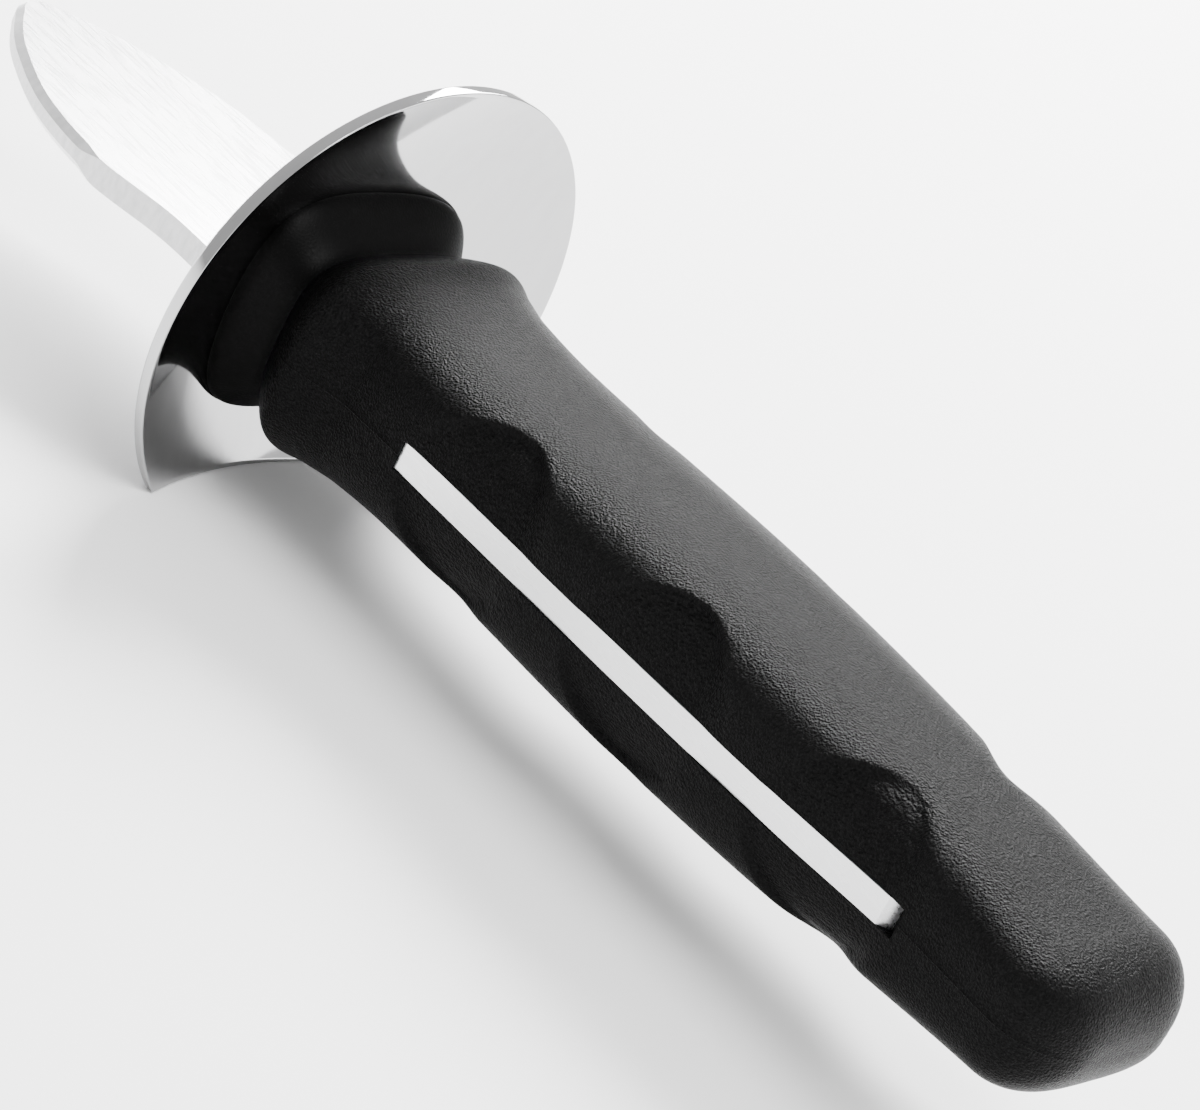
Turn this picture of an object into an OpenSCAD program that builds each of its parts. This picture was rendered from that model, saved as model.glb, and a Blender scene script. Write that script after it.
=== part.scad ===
// Oyster knife: full tang blade, dished hand guard, moulded collar and grip.
// The knife's axis runs along X towards the tip, Z is square to the blade's flats.
// The flat on the guard's rim lies on the floor, under the middle of the knife's length.

/* [Blade] */
// Length of the blade in front of the guard's hollow face
blade_len = 52.5; // [40:0.1:70]
// Widest part of the blade
blade_w = 28.4; // [26:0.1:32]
// Width of the blade where it leaves the guard
blade_waist_w = 24.2; // [18:0.1:26]
// Distance from the guard to the widest part
blade_belly_x = 22; // [16:0.5:26]
// Thickness over the ground flats of the blade
blade_t = 2.9; // [2:0.1:2.9]

/* [Tang] */
// Thickness of the unground stock
tang_t = 3; // [2.95:0.05:3.4]
// Width of the neck inside the collar
neck_w = 16; // [12:0.5:17]
// Distance from the guard to the front end of the bare edge strip
strip_front = 27; // [25:0.5:30]
// Length of the bare edge strip
strip_len = 69; // [60:0.5:72]
// How far the strip lies below the surface of the grip
strip_inset = 0.3; // [0.1:0.05:0.6]
// Diameter of the two anchoring holes
anchor_d = 7; // [4:0.5:10]
// Distance between the two anchoring holes
anchor_pitch = 38; // [28:1:44]

/* [Guard] */
// Width of the guard
guard_w = 52.2; // [46:0.2:60]
// Height of the guard before the flat is cut
guard_h = 55; // [50:0.2:62]
// How far the guard stands above the axis of the knife
guard_rise = 0.4; // [0:0.1:1]
// Thickness of the guard sheet
guard_t = 1.3; // [0.8:0.1:2]
// Radius of the dished face
dish_r = 54; // [48:1:90]
// Distance from the axis to the flat on the rim
guard_flat_z = 18.8; // [16:0.1:21]

/* [Collar] */
// Length of the collar from the guard to the step
collar_len = 7.4; // [6:0.1:9]
// Width of the collar at the guard
collar_w = 28.6; // [26:0.2:30]
// Height of the collar at the guard
collar_h = 25; // [23:0.2:26]
// Width of the collar at the step
collar_rear_w = 23.6; // [22:0.2:25]
// Height of the collar at the step
collar_rear_h = 17.8; // [16:0.2:19]
// Length of the spigot that the collar sends into the grip
spigot_len = 8; // [4:0.5:12]

/* [Grip] */
// Overall length from the guard to the butt
handle_len = 115; // [110:0.5:122]
// Width of the head behind the step
head_w = 30; // [28:0.2:32]
// Height of the head behind the step
head_h = 22.4; // [21:0.2:24]
// Distance from the step to the crest of the head
head_crest = 4.6; // [4:0.2:6]
// Width of the waist behind the head
waist_w = 25.6; // [24:0.2:27]
// Height of the waist behind the head
waist_h = 19.5; // [18:0.1:21]
// Width at the middle of the grip
middle_w = 25.4; // [24:0.2:27]
// Height at the middle of the grip
middle_h = 20.5; // [19:0.1:22]
// Width at the rear end of the strip
rear_w = 22.4; // [21.4:0.2:24]
// Height at the rear end of the strip
rear_h = 17.2; // [16:0.1:19]
// Width near the butt
butt_w = 23.4; // [22:0.2:25]
// Height near the butt
butt_h = 14.8; // [14.2:0.2:17]
// Radius of the butt's corners, seen square to the blade's flats
butt_corner = 7; // [4:0.5:9]
// Radius of the butt's end, seen along the strip's face
butt_edge = 6.8; // [5:0.1:7]

/* [Finger recesses] */
// Number of recesses on each side
recess_n = 3; // [1:1:3]
// Distance from one recess to the next
recess_pitch = 25.3; // [24:0.1:26]
// Length of one recess
recess_len = 21.5; // [18:0.5:23]
// Height of one recess
recess_h = 18.6; // [12:0.2:18.8]
// Depth of one recess
recess_d = 1.6; // [0.4:0.1:1.8]

/* [Fits] */
// Gap between the tang and what surrounds it
fit_gap = 0.05; // [0.02:0.01:0.2]

/* [Hidden] */

// Moves the knife from the guard's middle to the middle of its footprint
module stand() {
    translate([(handle_len - blade_len) / 2, 0, guard_flat_z]) children();
}

strip_rear = strip_front + strip_len;
shoulder_len = 3;
plate_corner = 2;
step_x = -collar_len;
section_power = 3.5;
section_points = 44;
grip_rings = 64;
corner_rings = 8;
collar_rings = 6;
// The ground flats stop just in front of the guard
grind_end_x = guard_t + 0.2;
spigot_wall = 2.2;
// Share of the full depth that a recess keeps beside the strip, and how high that share grows to one
recess_floor = 0.23;
recess_grow = 0.5;
// Share of its half size over which a recess falls to its floor, all round and at its rear end
recess_wall = 0.2;
recess_fade = 0.7;
// Share of the depth at the front lip, and of the length over which the floor slopes down from it
recess_lip = 0.3;
recess_slope = 0.6;

// Smooth curve through knots [place, value], with places rising
function slope(k, i) =
    let (a = max(i - 1, 0), b = min(i + 1, len(k) - 1))
    (k[b][1] - k[a][1]) / (k[b][0] - k[a][0]);
function segment(k, s, i = 0) =
    (i >= len(k) - 2 || s < k[i + 1][0]) ? i : segment(k, s, i + 1);
function smooth(k, s) =
    let (
        i = segment(k, s),
        h = k[i + 1][0] - k[i][0],
        t = min(max((s - k[i][0]) / h, 0), 1),
        t2 = t * t,
        t3 = t2 * t
    )
    (2 * t3 - 3 * t2 + 1) * k[i][1] + (t3 - 2 * t2 + t) * h * slope(k, i)
        + (3 * t2 - 2 * t3) * k[i + 1][1] + (t3 - t2) * h * slope(k, i + 1);
function ease(t) =
    let (c = min(max(t, 0), 1))
    c * c * (3 - 2 * c);

// Rounded section of a given half width and half height
function bow(v) = sign(v) * pow(abs(v), 2 / section_power);
function ring(x, half_w, half_h) = [
    for (i = [0 : section_points - 1])
        let (a = 360 * i / section_points)
        [x, half_w * bow(cos(a)), half_h * bow(sin(a))]
];

// Closed solid through a list of rings that run towards -X
module loft(rings) {
    n = len(rings[0]);
    m = len(rings);
    points = [for (r = rings) for (p = r) p];
    sides = [
        for (j = [0 : m - 2]) for (i = [0 : n - 1])
            let (a = j * n + i, b = j * n + (i + 1) % n)
            each [[a, b, b + n], [a, b + n, a + n]]
    ];
    front = [[for (i = [n - 1 : -1 : 0]) i]];
    back = [[for (i = [0 : n - 1]) (m - 1) * n + i]];
    polyhedron(points, concat(front, sides, back));
}

// Half width and half height of the grip, by distance behind the guard
waist_s = collar_len + 2.6 * head_crest;
width_knots = [
    [collar_len, collar_rear_w / 2 + 0.2],
    [collar_len + 0.5 * head_crest, head_w / 2 - 1],
    [collar_len + head_crest, head_w / 2],
    [collar_len + 1.7 * head_crest, (head_w + waist_w) / 4],
    [waist_s, waist_w / 2],
    [handle_len / 2, middle_w / 2],
    [0.7 * handle_len, middle_w / 2 - 0.5],
    [strip_rear, rear_w / 2],
    [handle_len - butt_corner, butt_w / 2],
    [handle_len, butt_w / 2]
];
height_knots = [
    [collar_len, collar_rear_h / 2 + 0.2],
    [collar_len + 0.5 * head_crest, head_h / 2 - 0.8],
    [collar_len + head_crest, head_h / 2],
    [collar_len + 1.7 * head_crest, head_h / 2 - 0.5],
    [strip_front, waist_h / 2],
    [handle_len / 2, middle_h / 2],
    [0.66 * handle_len, middle_h / 2 - 0.4],
    [strip_rear, rear_h / 2],
    [handle_len - butt_corner, butt_h / 2],
    [handle_len, butt_h / 2]
];
// How far a side draws in near the butt for a corner of radius r
function draw_in(s, r) =
    let (t = max(0, (s - handle_len + r) / r))
    r * (1 - sqrt(max(0, 1 - t * t)));

// Depth of the finger recesses at a point on the side
function recess(x, z) = max([
    for (i = [0 : recess_n - 1])
        let (
            c = -strip_front - recess_len / 2 - i * recess_pitch,
            r = norm([2 * (x - c) / recess_len, 2 * z / recess_h]),
            off_strip = max(0, abs(z) - tang_t / 2) / (recess_grow * recess_h / 2),
            grow = recess_floor + (1 - recess_floor) * min(1, off_strip),
            back = x > c ? 0 : pow(2 * (x - c) / recess_len / max(r, 0.1), 2),
            wall = recess_wall + (recess_fade - recess_wall) * back,
            behind = (c - x) / recess_len + 0.5,
            sink = recess_lip + (1 - recess_lip) * ease(behind / recess_slope)
        )
        recess_d * grow * sink * ease((1 - r) / wall)
]);
function grip_ring(s) =
    let (
        half_w = smooth(width_knots, s) - draw_in(s, butt_corner),
        half_h = smooth(height_knots, s) - draw_in(s, butt_edge)
    )
    [
        for (p = ring(-s, half_w, half_h))
            [p[0], p[1] - sign(p[1]) * recess(p[0], p[2]), p[2]]
    ];

// Outline of the blade: the square of its half width runs smoothly to nothing at the point
function squared(w) = w * w / 4;
blade_knots = [
    [0, squared(blade_waist_w)],
    [blade_belly_x / 2, squared(blade_waist_w)],
    [blade_belly_x, squared(blade_w)],
    [blade_belly_x + 0.32 * (blade_len - blade_belly_x), squared(0.93 * blade_w)],
    [blade_belly_x + 0.66 * (blade_len - blade_belly_x), squared(0.636 * blade_w)],
    [blade_belly_x + 0.88 * (blade_len - blade_belly_x), squared(0.32 * blade_w)],
    [blade_len, 0]
];
blade_steps = 30;
blade_half = [
    for (i = [0 : blade_steps])
        let (s = blade_len * (1 - pow(1 - i / blade_steps, 2)))
        [s, sqrt(max(0, smooth(blade_knots, s)))]
];
module blade_outline() {
    mirrored = [for (i = [blade_steps - 1 : -1 : 0]) [blade_half[i][0], -blade_half[i][1]]];
    intersection() {
        polygon(concat(blade_half, mirrored));
        translate([grind_end_x, -blade_w]) square([blade_len, 2 * blade_w]);
    }
}

// Outline of the stock behind the ground flats, grown by a gap
strip_steps = 10;
function strip_y(s) = smooth(width_knots, s) - strip_inset;
module tang_outline(g = 0) {
    neck_y = neck_w / 2 + g;
    edge = [
        for (i = [0 : strip_steps])
            let (s = strip_front + (strip_len - plate_corner) * i / strip_steps)
            [-s, strip_y(s) + g]
    ];
    half = concat(
        [[grind_end_x, neck_y], [-strip_front + shoulder_len, neck_y]],
        edge,
        [[-strip_rear - g, strip_y(strip_rear) - plate_corner + g]]
    );
    mirrored = [for (i = [len(half) - 1 : -1 : 0]) [half[i][0], -half[i][1]]];
    polygon(concat(half, mirrored));
}
module tang_space() {
    linear_extrude(tang_t + 2 * fit_gap, center = true) tang_outline(fit_gap);
}
// Opens the grip's side along the strip
module strip_slots() {
    reach = head_w;
    for (side = [-1, 1])
        translate([-strip_rear + plate_corner, side > 0 ? rear_w / 2 - 1 : -reach, -tang_t / 2 - fit_gap])
            cube([strip_len - plate_corner, reach - rear_w / 2 + 1, tang_t + 2 * fit_gap]);
}
anchor_x = -strip_front - (strip_len - anchor_pitch) / 2;

module blade() {
    color("lightgray") stand() {
        linear_extrude(blade_t, center = true) blade_outline();
        linear_extrude(tang_t, center = true) difference() {
            tang_outline();
            for (i = [0, 1]) translate([anchor_x - i * anchor_pitch, 0]) circle(d = anchor_d, $fn = 48);
        }
    }
}

// Sheet between two spheres on one centre behind the guard
module guard_sheet() {
    rim = max(guard_w, guard_h) / 2 + guard_rise;
    deep = dish_r - sqrt(dish_r * dish_r - rim * rim);
    points = 90;
    outline = [
        for (i = [0 : points - 1])
            let (a = 360 * i / points)
            [guard_rise + guard_h / 2 * cos(a), guard_w / 2 * sin(a)]
    ];
    intersection() {
        rotate([0, 90, 0]) mirror([1, 0, 0]) translate([0, 0, -deep - guard_t])
            linear_extrude(deep + 3 * guard_t) polygon(outline);
        translate([-dish_r, 0, 0]) difference() {
            sphere(r = dish_r + guard_t, $fn = 200);
            sphere(r = dish_r, $fn = 200);
        }
    }
}
module guard() {
    color("silver") stand() difference() {
        guard_sheet();
        translate([-guard_w, -guard_w, -guard_flat_z - guard_h]) cube([2 * guard_w, 2 * guard_w, guard_h]);
        tang_space();
    }
}

spigot_w = collar_rear_w - 2 * spigot_wall;
spigot_h = collar_rear_h - 2 * spigot_wall;
module spigot(g = 0) {
    translate([step_x - spigot_len - g, -spigot_w / 2 - g, -spigot_h / 2 - g])
        cube([spigot_len + 2 * g, spigot_w + 2 * g, spigot_h + 2 * g]);
}
module collar() {
    rings = [
        for (i = [0 : collar_rings])
            let (t = i / collar_rings, e = ease(t))
            ring(1 - (collar_len + 1) * t,
                (collar_w + (collar_rear_w - collar_w) * e) / 2,
                (collar_h + (collar_rear_h - collar_h) * e) / 2)
    ];
    color("#1b1b1f") stand() difference() {
        union() {
            intersection() {
                loft(rings);
                translate([-dish_r, 0, 0]) sphere(r = dish_r - fit_gap, $fn = 200);
            }
            spigot();
        }
        tang_space();
    }
}

module grip() {
    span = handle_len - butt_corner - collar_len;
    places = concat(
        [for (j = [0 : grip_rings]) collar_len + span * j / grip_rings],
        [for (j = [1 : corner_rings]) handle_len - butt_corner * (1 - sin(90 * j / corner_rings))]
    );
    rings = [for (s = places) grip_ring(s)];
    color("#202024") stand() difference() {
        loft(rings);
        tang_space();
        strip_slots();
        spigot(fit_gap);
    }
}

blade();
guard();
collar();
grip();
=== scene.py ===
"""Oyster knife: the frame's four pieces, modelled finely in the same places, with their finishes."""
import bmesh
import bpy
import math
from mathutils import Matrix, Vector


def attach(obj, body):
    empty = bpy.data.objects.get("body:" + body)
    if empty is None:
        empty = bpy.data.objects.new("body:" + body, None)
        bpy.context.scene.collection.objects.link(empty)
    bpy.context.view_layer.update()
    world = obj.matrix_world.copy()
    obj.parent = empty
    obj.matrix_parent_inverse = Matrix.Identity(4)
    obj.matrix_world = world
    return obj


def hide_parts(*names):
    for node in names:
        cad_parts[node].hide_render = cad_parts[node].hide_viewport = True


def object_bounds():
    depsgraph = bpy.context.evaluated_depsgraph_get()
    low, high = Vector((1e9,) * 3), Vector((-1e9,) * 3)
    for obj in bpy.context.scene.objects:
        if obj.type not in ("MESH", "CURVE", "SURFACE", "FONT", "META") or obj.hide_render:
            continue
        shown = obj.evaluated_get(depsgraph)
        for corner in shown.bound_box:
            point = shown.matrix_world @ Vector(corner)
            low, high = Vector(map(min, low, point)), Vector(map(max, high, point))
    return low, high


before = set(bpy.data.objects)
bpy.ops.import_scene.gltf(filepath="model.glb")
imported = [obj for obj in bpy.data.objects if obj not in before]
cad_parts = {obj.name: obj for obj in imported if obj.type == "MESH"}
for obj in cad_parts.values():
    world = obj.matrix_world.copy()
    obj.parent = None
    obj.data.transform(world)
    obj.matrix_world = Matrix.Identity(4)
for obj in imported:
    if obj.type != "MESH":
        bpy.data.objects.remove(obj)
cad_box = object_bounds()

MM = 0.001

# Sizes in millimetres, measured from the middle of the guard, as the frame's solids have them,
# but for the walls of the recesses, which are steeper here
BLADE_LEN, BLADE_W, BLADE_WAIST_W, BLADE_BELLY_X = 52.5, 28.4, 24.2, 22.0
BLADE_T, TANG_T, NECK_W, GRIND_END_X = 2.9, 3.0, 16.0, 1.5
STRIP_FRONT, STRIP_LEN, STRIP_INSET = 27.0, 69.0, 0.3
SHOULDER_LEN, PLATE_CORNER = 3.0, 2.0
GUARD_W, GUARD_H, GUARD_RISE, GUARD_T = 52.2, 55.0, 0.4, 1.3
GUARD_FLAT_Z, DISH_R = 18.8, 54.0
COLLAR_LEN = 7.4
COLLAR_W, COLLAR_H = 28.6, 25.0
COLLAR_REAR_W, COLLAR_REAR_H = 23.6, 17.8
HANDLE_LEN = 115.0
HEAD_W, HEAD_H, HEAD_CREST = 30.0, 22.4, 4.6
WAIST_W, WAIST_H = 25.6, 19.5
MIDDLE_W, MIDDLE_H = 25.4, 20.5
REAR_W, REAR_H = 22.4, 17.2
BUTT_W, BUTT_H, BUTT_CORNER, BUTT_EDGE = 23.4, 14.8, 7.0, 6.8
RECESS_N, RECESS_PITCH, RECESS_LEN, RECESS_H, RECESS_D = 3, 25.3, 21.5, 18.6, 1.6
RECESS_FLOOR, RECESS_GROW, RECESS_WALL, RECESS_FADE = 0.23, 0.5, 0.14, 0.7
RECESS_LIP, RECESS_SLOPE = 0.3, 0.6
SECTION_POWER = 3.5
FIT_GAP = 0.05

STRIP_REAR = STRIP_FRONT + STRIP_LEN
SLOT_HALF = TANG_T / 2 + FIT_GAP
SLOT_DEPTH = 1.2
# From the middle of the guard to the frame's origin
ORIGIN = Vector(((HANDLE_LEN - BLADE_LEN) / 2, 0, GUARD_FLAT_Z))

WIDTH_KNOTS = [
    (COLLAR_LEN, COLLAR_REAR_W / 2 + 0.2),
    (COLLAR_LEN + 0.5 * HEAD_CREST, HEAD_W / 2 - 1),
    (COLLAR_LEN + HEAD_CREST, HEAD_W / 2),
    (COLLAR_LEN + 1.7 * HEAD_CREST, (HEAD_W + WAIST_W) / 4),
    (COLLAR_LEN + 2.6 * HEAD_CREST, WAIST_W / 2),
    (HANDLE_LEN / 2, MIDDLE_W / 2),
    (0.7 * HANDLE_LEN, MIDDLE_W / 2 - 0.5),
    (STRIP_REAR, REAR_W / 2),
    (HANDLE_LEN - BUTT_CORNER, BUTT_W / 2),
    (HANDLE_LEN, BUTT_W / 2),
]
HEIGHT_KNOTS = [
    (COLLAR_LEN, COLLAR_REAR_H / 2 + 0.2),
    (COLLAR_LEN + 0.5 * HEAD_CREST, HEAD_H / 2 - 0.8),
    (COLLAR_LEN + HEAD_CREST, HEAD_H / 2),
    (COLLAR_LEN + 1.7 * HEAD_CREST, HEAD_H / 2 - 0.5),
    (STRIP_FRONT, WAIST_H / 2),
    (HANDLE_LEN / 2, MIDDLE_H / 2),
    (0.66 * HANDLE_LEN, MIDDLE_H / 2 - 0.4),
    (STRIP_REAR, REAR_H / 2),
    (HANDLE_LEN - BUTT_CORNER, BUTT_H / 2),
    (HANDLE_LEN, BUTT_H / 2),
]
BELLY_TO_TIP = BLADE_LEN - BLADE_BELLY_X
BLADE_KNOTS = [(x, (w / 2) ** 2) for x, w in (
    (0, BLADE_WAIST_W),
    (BLADE_BELLY_X / 2, BLADE_WAIST_W),
    (BLADE_BELLY_X, BLADE_W),
    (BLADE_BELLY_X + 0.32 * BELLY_TO_TIP, 0.93 * BLADE_W),
    (BLADE_BELLY_X + 0.66 * BELLY_TO_TIP, 0.636 * BLADE_W),
    (BLADE_BELLY_X + 0.88 * BELLY_TO_TIP, 0.32 * BLADE_W),
    (BLADE_LEN, 0),
)]


def slope(knots, i):
    a, b = max(i - 1, 0), min(i + 1, len(knots) - 1)
    return (knots[b][1] - knots[a][1]) / (knots[b][0] - knots[a][0])


def smooth(knots, s):
    """Smooth curve through knots (place, value)."""
    i = 0
    while i < len(knots) - 2 and s >= knots[i + 1][0]:
        i += 1
    h = knots[i + 1][0] - knots[i][0]
    t = min(max((s - knots[i][0]) / h, 0.0), 1.0)
    t2, t3 = t * t, t * t * t
    return ((2 * t3 - 3 * t2 + 1) * knots[i][1] + (t3 - 2 * t2 + t) * h * slope(knots, i)
            + (3 * t2 - 2 * t3) * knots[i + 1][1] + (t3 - t2) * h * slope(knots, i + 1))


def ease(t):
    t = min(max(t, 0.0), 1.0)
    return t * t * (3 - 2 * t)


def bow(v):
    return math.copysign(abs(v) ** (2 / SECTION_POWER), v)


def draw_in(s, r):
    """How far a side draws in near the butt for a corner of radius r."""
    t = max(0.0, (s - HANDLE_LEN + r) / r)
    return r * (1 - math.sqrt(max(0.0, 1 - t * t)))


def recess(x, z):
    """Depth of the finger recesses at a point on the side, and 1 inside one or 0 outside."""
    depth, inside = 0.0, 0.0
    off_strip = max(0.0, abs(z) - TANG_T / 2) / (RECESS_GROW * RECESS_H / 2)
    grow = RECESS_FLOOR + (1 - RECESS_FLOOR) * min(1.0, off_strip)
    for i in range(RECESS_N):
        centre = -STRIP_FRONT - RECESS_LEN / 2 - i * RECESS_PITCH
        r = math.hypot(2 * (x - centre) / RECESS_LEN, 2 * z / RECESS_H)
        back = 0.0 if x > centre else (2 * (x - centre) / RECESS_LEN / max(r, 0.1)) ** 2
        wall = RECESS_WALL + (RECESS_FADE - RECESS_WALL) * back
        behind = (centre - x) / RECESS_LEN + 0.5
        sink = RECESS_LIP + (1 - RECESS_LIP) * ease(behind / RECESS_SLOPE)
        depth = max(depth, RECESS_D * grow * sink * ease((1 - r) / wall))
        inside = max(inside, ease((1 - r) / RECESS_WALL))
    return depth, inside


def new_piece(name, points, faces):
    """Object from points in millimetres, measured from the middle of the guard."""
    mesh = bpy.data.meshes.new(name)
    mesh.from_pydata([(Vector(p) + ORIGIN) * MM for p in points], [], faces)
    obj = bpy.data.objects.new(name, mesh)
    bpy.context.collection.objects.link(obj)
    return obj


def finish_mesh(obj, crease=35):
    """Merge doubles, point the faces outwards and shade smooth up to the crease angle."""
    merge = 2e-6
    bm = bmesh.new()
    bm.from_mesh(obj.data)
    bmesh.ops.remove_doubles(bm, verts=bm.verts, dist=merge)
    bmesh.ops.dissolve_degenerate(bm, edges=bm.edges, dist=merge)
    bmesh.ops.recalc_face_normals(bm, faces=bm.faces)
    for face in bm.faces:
        face.smooth = True
    for edge in bm.edges:
        inner = len(edge.link_faces) == 2
        edge.smooth = not (inner and edge.calc_face_angle(0) > math.radians(crease))
    bm.to_mesh(obj.data)
    bm.free()


def loft(name, rings, masks=None):
    """Closed piece through rings of points, with the masks kept as the leather attribute."""
    n = len(rings[0])
    last = (len(rings) - 1) * n
    faces = []
    for j in range(0, last, n):
        for i in range(n):
            k = (i + 1) % n
            faces.append((j + i, j + k, j + n + k, j + n + i))
    faces.append(tuple(range(n - 1, -1, -1)))
    faces.append(tuple(range(last, last + n)))
    obj = new_piece(name, [p for ring in rings for p in ring], faces)
    if masks:
        leather = obj.data.attributes.new("leather", "FLOAT", "POINT")
        for k, value in enumerate(m for mask in masks for m in mask):
            leather.data[k].value = value
    finish_mesh(obj)
    return obj


# The mould's parting line, a fine ridge in line with the strip
RIDGE_SHARE = 0.09
RIDGE_H = 0.07
# Points across the flat that carries it, as shares of the slot's half height
FLAT_SHARES = (-0.7, -RIDGE_SHARE, 0, RIDGE_SHARE, 0.7)


def grip_piece():
    points = 96
    step = 0.3
    count = round((HANDLE_LEN - BUTT_CORNER - COLLAR_LEN) / step)
    stations = [COLLAR_LEN + step * i for i in range(count)]
    stations += [STRIP_FRONT - 0.01, STRIP_FRONT, STRIP_REAR, STRIP_REAR + 0.01]
    stations += [HANDLE_LEN - BUTT_CORNER * (1 - math.sin(math.pi / 2 * k / 40)) for k in range(41)]
    rings, masks = [], []
    for s in sorted(stations):
        half_w = smooth(WIDTH_KNOTS, s) - draw_in(s, BUTT_CORNER)
        half_h = smooth(HEIGHT_KNOTS, s) - draw_in(s, BUTT_EDGE)
        cut = SLOT_DEPTH if STRIP_FRONT <= s <= STRIP_REAR else 0.0
        edge_z = min(SLOT_HALF, half_h / 2)
        start = math.asin((edge_z / half_h) ** (SECTION_POWER / 2))
        ring, mask = [], []
        for side in (1, -1):
            flat_y = side * (half_w - recess(-s, 0)[0] - cut)
            ridge = 0.0 if cut else side * RIDGE_H
            for share, rise in zip(FLAT_SHARES, (0, 0, ridge, 0, 0)):
                ring.append((-s, flat_y + rise, side * share * edge_z))
                mask.append(0.0)
            for i in range(points):
                a = start + (math.pi - 2 * start) * i / (points - 1)
                y, z = side * half_w * bow(math.cos(a)), side * half_h * bow(math.sin(a))
                depth, inside = recess(-s, z)
                y -= math.copysign(depth, y)
                place = [(-s, y, z)]
                if cut and i == 0:
                    place.insert(0, (-s, y - math.copysign(cut, y), z))
                if cut and i == points - 1:
                    place.append((-s, y - math.copysign(cut, y), z))
                if not cut and i in (0, points - 1):
                    place.append(place[0])
                ring += place
                mask += [inside] * len(place)
        rings.append(ring)
        masks.append(mask)
    return loft("grip_skin", rings, masks)


def collar_piece():
    points = 160
    steps = 40
    rings = []
    for j in range(steps + 1):
        t = j / steps
        half_w = (COLLAR_W + (COLLAR_REAR_W - COLLAR_W) * ease(t)) / 2
        half_h = (COLLAR_H + (COLLAR_REAR_H - COLLAR_H) * ease(t)) / 2
        ring = []
        for i in range(points):
            a = 2 * math.pi * i / points
            y, z = half_w * bow(math.cos(a)), half_h * bow(math.sin(a))
            dish = DISH_R - math.sqrt(DISH_R ** 2 - y * y - z * z)
            ring.append((-dish - (COLLAR_LEN + FIT_GAP - dish) * t, y, z))
        rings.append(ring)
    return loft("collar_skin", rings)


# Rounding of the edges of the guard's rim
RIM_ROUND = 0.2


def guard_outline():
    """Outline of the guard, (y, z), round the oval and along the flat cut through it."""
    start = math.asin((-GUARD_FLAT_Z - GUARD_RISE) / (GUARD_H / 2))
    arc, chord = 220, 40
    turns = [start + (math.pi - 2 * start) * i / arc for i in range(arc + 1)]
    outline = [(GUARD_W / 2 * math.cos(a), GUARD_RISE + GUARD_H / 2 * math.sin(a)) for a in turns]
    y, z = outline[-1]
    return outline + [(y - 2 * y * i / chord, z) for i in range(1, chord)]


def guard_piece():
    """Sheet between two spheres, with the edges of its rim rounded."""
    outline = guard_outline()
    width, steps, turns, hub = GUARD_W / 2, 36, 5, 0.02
    scales = [hub + (1 - hub) * i / steps for i in range(steps)]
    rounding = [math.pi / 2 * k / turns for k in range(turns + 1)]
    profile = [(k, 0.0) for k in scales]
    profile += [(1 - RIM_ROUND / width * (1 - math.sin(a)), RIM_ROUND * (1 - math.cos(a)))
                for a in rounding]
    points, faces = [], []
    for back in (True, False):
        for k, lift in (profile if back else reversed(profile)):
            for y, z in outline:
                y, z = k * y, k * (z - GUARD_RISE) + GUARD_RISE
                radius = DISH_R + lift if back else DISH_R + GUARD_T - lift
                points.append((math.sqrt(radius ** 2 - y * y - z * z) - DISH_R, y, z))
    n = len(outline)
    rows = len(points) // n
    for j in range(rows - 1):
        for i in range(n):
            k = (i + 1) % n
            faces.append((j * n + i, j * n + k, j * n + n + k, j * n + n + i))
    faces += [tuple(range(n)), tuple(range((rows - 1) * n, rows * n))]
    obj = new_piece("guard_skin", points, faces)
    finish_mesh(obj, 30)
    return obj


# Where the ground edge starts, how long it takes to reach its depth, and the facet there
GROUND_FROM_X = 20.5
GROUND_RUN = 4.0
GROUND_WIDTH = 0.7
GROUND_EDGE_T = 1.3
# Slots of the blade's materials
FACE, GROUND, RAW = 0, 1, 2
# Smallest half width, squared, that keeps the tip from closing to a point
TIP_SQUARE = 0.002
# Short step from the thickness of the tang to that of the blade
T_STEP = 0.02


def blade_stations():
    """(place, half width, share of the ground facet) from the rear of the tang to the tip."""
    tang = [(-STRIP_REAR, smooth(WIDTH_KNOTS, STRIP_REAR) - STRIP_INSET - PLATE_CORNER, 0)]
    steps = 60
    for i in range(steps + 1):
        s = STRIP_REAR - PLATE_CORNER - (STRIP_LEN - PLATE_CORNER) * i / steps
        tang.append((-s, smooth(WIDTH_KNOTS, s) - STRIP_INSET, 0))
    tang.append((-STRIP_FRONT + SHOULDER_LEN, NECK_W / 2, 0))
    tang.append((GRIND_END_X, NECK_W / 2, 0))
    blade = []
    front = GRIND_END_X + T_STEP
    steps = 120
    for i in range(steps + 1):
        x = front + (BLADE_LEN - front) * (1 - (1 - i / steps) ** 2)
        half_w = math.sqrt(max(TIP_SQUARE, smooth(BLADE_KNOTS, x)))
        blade.append((x, half_w, ease((x - GROUND_FROM_X) / GROUND_RUN)))
    return tang + blade


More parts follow.
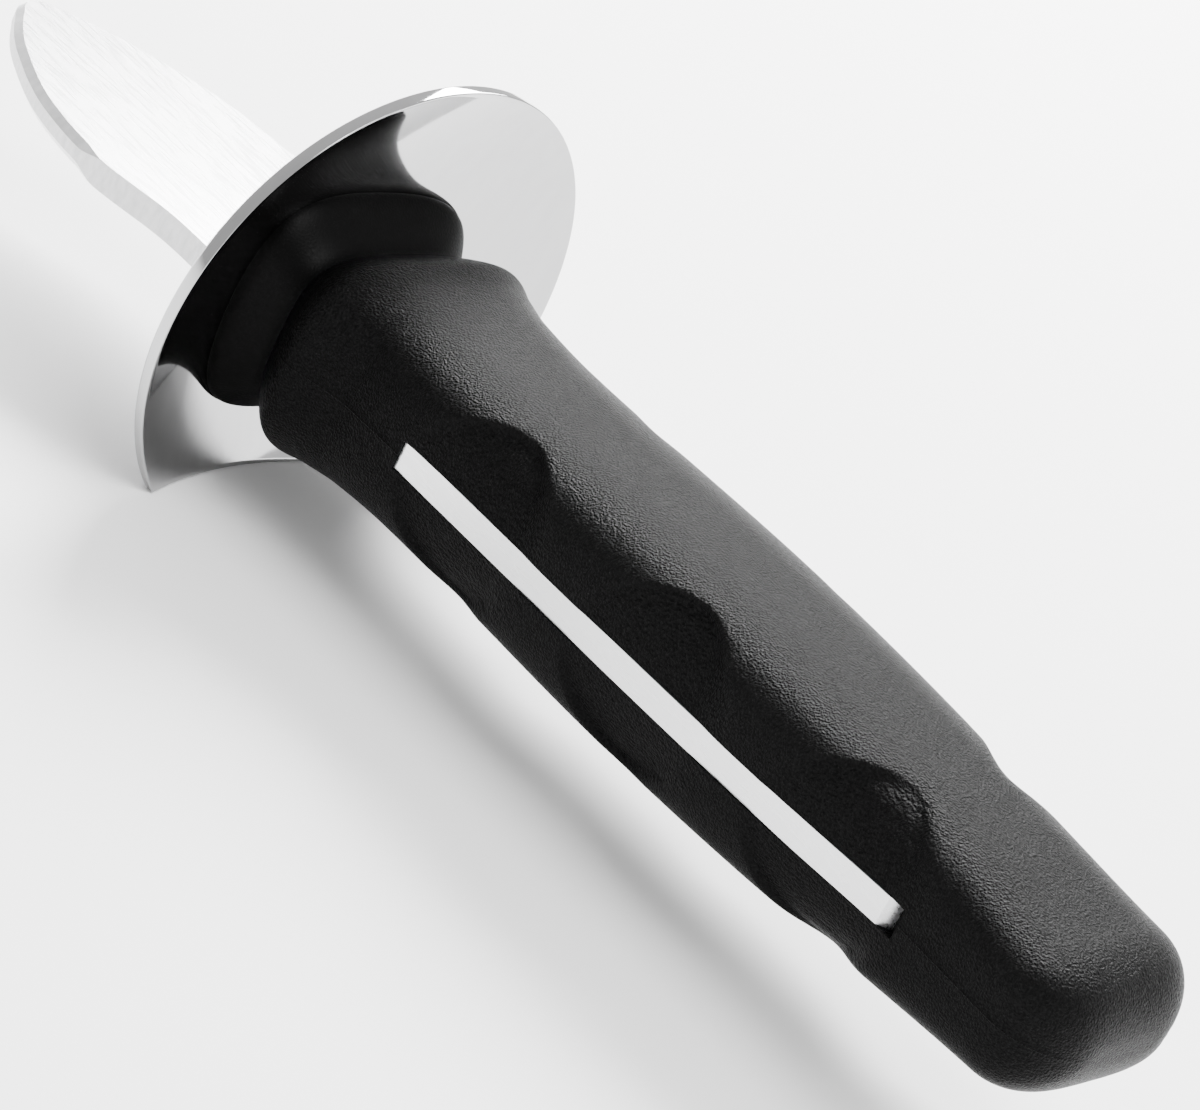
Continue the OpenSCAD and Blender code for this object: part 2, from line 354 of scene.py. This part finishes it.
def blade_piece():
    stations = blade_stations()
    points, faces, kinds = [], [], []
    for i, (x, half_w, share) in enumerate(stations):
        before, after = stations[max(i - 1, 0)], stations[min(i + 1, len(stations) - 1)]
        run, rise = after[0] - before[0], after[1] - before[1]
        size = math.hypot(run, rise)
        facet = GROUND_WIDTH * share
        inner_x, inner_w = x + facet * rise / size, max(0.01, half_w - facet * run / size)
        half_t = (TANG_T if x < GRIND_END_X + T_STEP / 2 else BLADE_T) / 2
        edge_t = half_t + (GROUND_EDGE_T / 2 - half_t) * share
        for side in (1, -1):
            face_y, edge_y = side * inner_w, side * half_w
            points += [(inner_x, face_y, side * half_t), (x, edge_y, side * edge_t)]
            points += [(x, edge_y, -side * edge_t), (inner_x, face_y, -side * half_t)]
    kind_of_side = [GROUND, RAW, GROUND, FACE, GROUND, RAW, GROUND, FACE]
    for i in range(len(stations) - 1):
        for k in range(8):
            a, b = 8 * i + k, 8 * i + (k + 1) % 8
            faces.append((a, b, b + 8, a + 8))
            kinds.append(FACE if stations[i][0] < 0 else kind_of_side[k])
    faces += [tuple(range(7, -1, -1)), tuple(range(8 * len(stations) - 8, 8 * len(stations)))]
    kinds += [FACE, GROUND]
    obj = new_piece("blade_skin", points, faces)
    for face, kind in zip(obj.data.polygons, kinds):
        face.material_index = kind
    finish_mesh(obj, 12)
    return obj


def new_material(name):
    mat = bpy.data.materials.new(name)
    mat.use_nodes = True
    nodes, links = mat.node_tree.nodes, mat.node_tree.links
    nodes.clear()
    out = nodes.new("ShaderNodeOutputMaterial")
    shader = nodes.new("ShaderNodeBsdfPrincipled")
    links.new(shader.outputs["BSDF"], out.inputs["Surface"])
    coords = nodes.new("ShaderNodeTexCoord")
    return mat, nodes, links, shader, coords


def noise(nodes, links, coords, scale, detail=4, stretch=(1, 1, 1)):
    mapping = nodes.new("ShaderNodeMapping")
    mapping.inputs["Scale"].default_value = stretch
    links.new(coords.outputs["Object"], mapping.inputs["Vector"])
    tex = nodes.new("ShaderNodeTexNoise")
    tex.inputs["Scale"].default_value = scale
    tex.inputs["Detail"].default_value = detail
    links.new(mapping.outputs["Vector"], tex.inputs["Vector"])
    return tex.outputs["Fac"]


def ramp(nodes, links, source, low, high, a=0.3, b=0.7):
    node = nodes.new("ShaderNodeMapRange")
    node.inputs["From Min"].default_value = a
    node.inputs["From Max"].default_value = b
    node.inputs["To Min"].default_value = low
    node.inputs["To Max"].default_value = high
    links.new(source, node.inputs["Value"])
    return node.outputs["Result"]


def blend(nodes, links, source, first, second):
    node = nodes.new("ShaderNodeMix")
    node.data_type = "RGBA"
    node.inputs["A"].default_value = first
    node.inputs["B"].default_value = second
    links.new(source, node.inputs["Factor"])
    return node.outputs["Result"]


def bump(nodes, links, height, depth, below=None):
    node = nodes.new("ShaderNodeBump")
    node.inputs["Strength"].default_value = 1.0
    node.inputs["Distance"].default_value = depth
    links.new(height, node.inputs["Height"])
    if below:
        links.new(below, node.inputs["Normal"])
    return node


def grey(value):
    return (value, value, value * 1.01, 1)


def steel(name, dark, light, rough, lines_scale, stretch, lines_depth, cloud_depth=0.00001):
    """Metal with fine parallel marks, drawn out by stretch, over a faint waviness."""
    mat, nodes, links, shader, coords = new_material(name)
    shader.inputs["Metallic"].default_value = 1.0
    lines = noise(nodes, links, coords, lines_scale, 3, stretch)
    cloud = noise(nodes, links, coords, 90, 2)
    streaks = ramp(nodes, links, lines, 0, 1)
    links.new(blend(nodes, links, streaks, grey(dark), grey(light)), shader.inputs["Base Color"])
    links.new(ramp(nodes, links, lines, rough * 0.85, rough * 1.2), shader.inputs["Roughness"])
    marks = bump(nodes, links, lines, lines_depth)
    waves = bump(nodes, links, cloud, cloud_depth, marks.outputs["Normal"])
    links.new(waves.outputs["Normal"], shader.inputs["Normal"])
    return mat


LEATHER_DEPTH = 0.00016


def plastic(name, dark, light, rough, grain_scale, grain_depth, leather_scale=0):
    """Moulded black plastic with a fine grain, and a coarser one where the leather mask is 1."""
    mat, nodes, links, shader, coords = new_material(name)
    shader.inputs["Specular IOR Level"].default_value = 0.05
    grain = noise(nodes, links, coords, grain_scale, 2)
    speckle = ramp(nodes, links, grain, 0, 1, 0.42, 0.72)
    links.new(blend(nodes, links, speckle, grey(dark), grey(light)), shader.inputs["Base Color"])
    links.new(ramp(nodes, links, grain, rough * 1.15, rough * 0.85), shader.inputs["Roughness"])
    last = bump(nodes, links, grain, grain_depth)
    if leather_scale:
        cells = nodes.new("ShaderNodeTexVoronoi")
        cells.inputs["Scale"].default_value = leather_scale
        mapping = nodes.new("ShaderNodeMapping")
        mapping.inputs["Scale"].default_value = (0.75, 1, 1.25)
        links.new(coords.outputs["Object"], mapping.inputs["Vector"])
        links.new(mapping.outputs["Vector"], cells.inputs["Vector"])
        mask = nodes.new("ShaderNodeAttribute")
        mask.attribute_name = "leather"
        leather = bump(nodes, links, cells.outputs["Distance"], -LEATHER_DEPTH, last.outputs["Normal"])
        links.new(mask.outputs["Fac"], leather.inputs["Strength"])
        last = leather
    links.new(last.outputs["Normal"], shader.inputs["Normal"])
    return mat


def place(piece, node, slot, *materials):
    """The piece takes the node's place, attached to the root body; the slot is not used."""
    for mat in materials:
        piece.data.materials.append(mat)
    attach(piece, "root")
    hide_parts(node)


satin = steel("blade_satin", 0.60, 0.63, 0.28, 2500, (0.1, 1, 1), 0.0000008, 0.000002)
ground = steel("blade_ground", 0.74, 0.86, 0.34, 1100, (1, 0.15, 1), 0.00001)
raw_edge = steel("blade_raw_edge", 0.40, 0.56, 0.42, 1500, (1, 1, 0.4), 0.00002)
polish = steel("guard_polish", 0.36, 0.38, 0.06, 700, (1, 1, 0.1), 0.0000003, 0.000001)

grip_grain = plastic("grip_grain", 0.0006, 0.004, 0.42, 4300, 0.0003, 2300)
collar_matte = plastic("collar_matte", 0.0006, 0.001, 0.45, 4300, 0.00003)

place(guard_piece(), "guard", "guard_steel", polish)
place(blade_piece(), "blade", "blade_steel", satin, ground, raw_edge)
place(collar_piece(), "collar", "collar_plastic", collar_matte)
place(grip_piece(), "grip", "grip_plastic", grip_grain)

# Camera at the photograph's viewing angle, from a fit to the knife's edges
IMAGE_W = 1200.0
FOCAL_PX = 4113.4
SENSOR = 36.0
TURN = Matrix((
    (-0.62835, -0.65533, 0.41918),
    (-0.59749, 0.06148, -0.79951),
    (0.49818, -0.75283, -0.43019),
))
OFFSET = Vector((-27.609, -26.321, 408.182))


def add_camera():
    data = bpy.data.cameras.new("camera")
    data.sensor_fit = "HORIZONTAL"
    data.sensor_width = SENSOR
    data.lens = FOCAL_PX / IMAGE_W * SENSOR
    data.clip_start = 0.01
    camera = bpy.data.objects.new("camera", data)
    bpy.context.collection.objects.link(camera)
    back = TURN.transposed()
    flip = Matrix(((1, 0, 0), (0, -1, 0), (0, 0, -1)))
    spot = (ORIGIN - back @ OFFSET) * MM
    camera.matrix_world = Matrix.Translation(spot) @ (back @ flip).to_4x4()
    bpy.context.scene.camera = camera


def area_light(name, spot, size, power):
    data = bpy.data.lights.new(name, "AREA")
    data.shape = "RECTANGLE"
    data.size = data.size_y = size
    data.energy = power
    obj = bpy.data.objects.new(name, data)
    obj.location = spot
    obj.rotation_euler = (-Vector(spot)).to_track_quat("-Z", "Y").to_euler()
    bpy.context.collection.objects.link(obj)


def add_world():
    """White surroundings, dimmer on the side of the camera."""
    world = bpy.data.worlds.new("studio")
    world.use_nodes = True
    nodes, links = world.node_tree.nodes, world.node_tree.links
    coords = nodes.new("ShaderNodeTexCoord")
    split = nodes.new("ShaderNodeSeparateXYZ")
    links.new(coords.outputs["Generated"], split.inputs["Vector"])
    shade = ramp(nodes, links, split.outputs["Y"], 1.5, 1.0, -0.6, 0.8)
    links.new(shade, nodes["Background"].inputs["Strength"])
    nodes["Background"].inputs["Color"].default_value = (1, 1, 1, 1)
    bpy.context.scene.world = world


# The floor lies this far below the knife, in metres
FLOOR_GAP = 0.0002


def add_floor():
    reach, level = 3.0, cad_box[0][2] - FLOOR_GAP
    mesh = bpy.data.meshes.new("floor")
    signs = ((-1, -1), (1, -1), (1, 1), (-1, 1))
    mesh.from_pydata([(reach * a, reach * b, level) for a, b in signs], [], [range(4)])
    mat, _, _, shader, _ = new_material("floor")
    shader.inputs["Base Color"].default_value = (0.96, 0.96, 0.96, 1)
    shader.inputs["Roughness"].default_value = 1.0
    shader.inputs["Specular IOR Level"].default_value = 0.0
    mesh.materials.append(mat)
    floor = bpy.data.objects.new("floor", mesh)
    bpy.context.collection.objects.link(floor)


add_camera()
area_light("key", (0.3, -0.45, 0.5), 0.35, 26)
area_light("fill", (-0.4, 0.1, 0.7), 0.5, 8)
add_world()
add_floor()
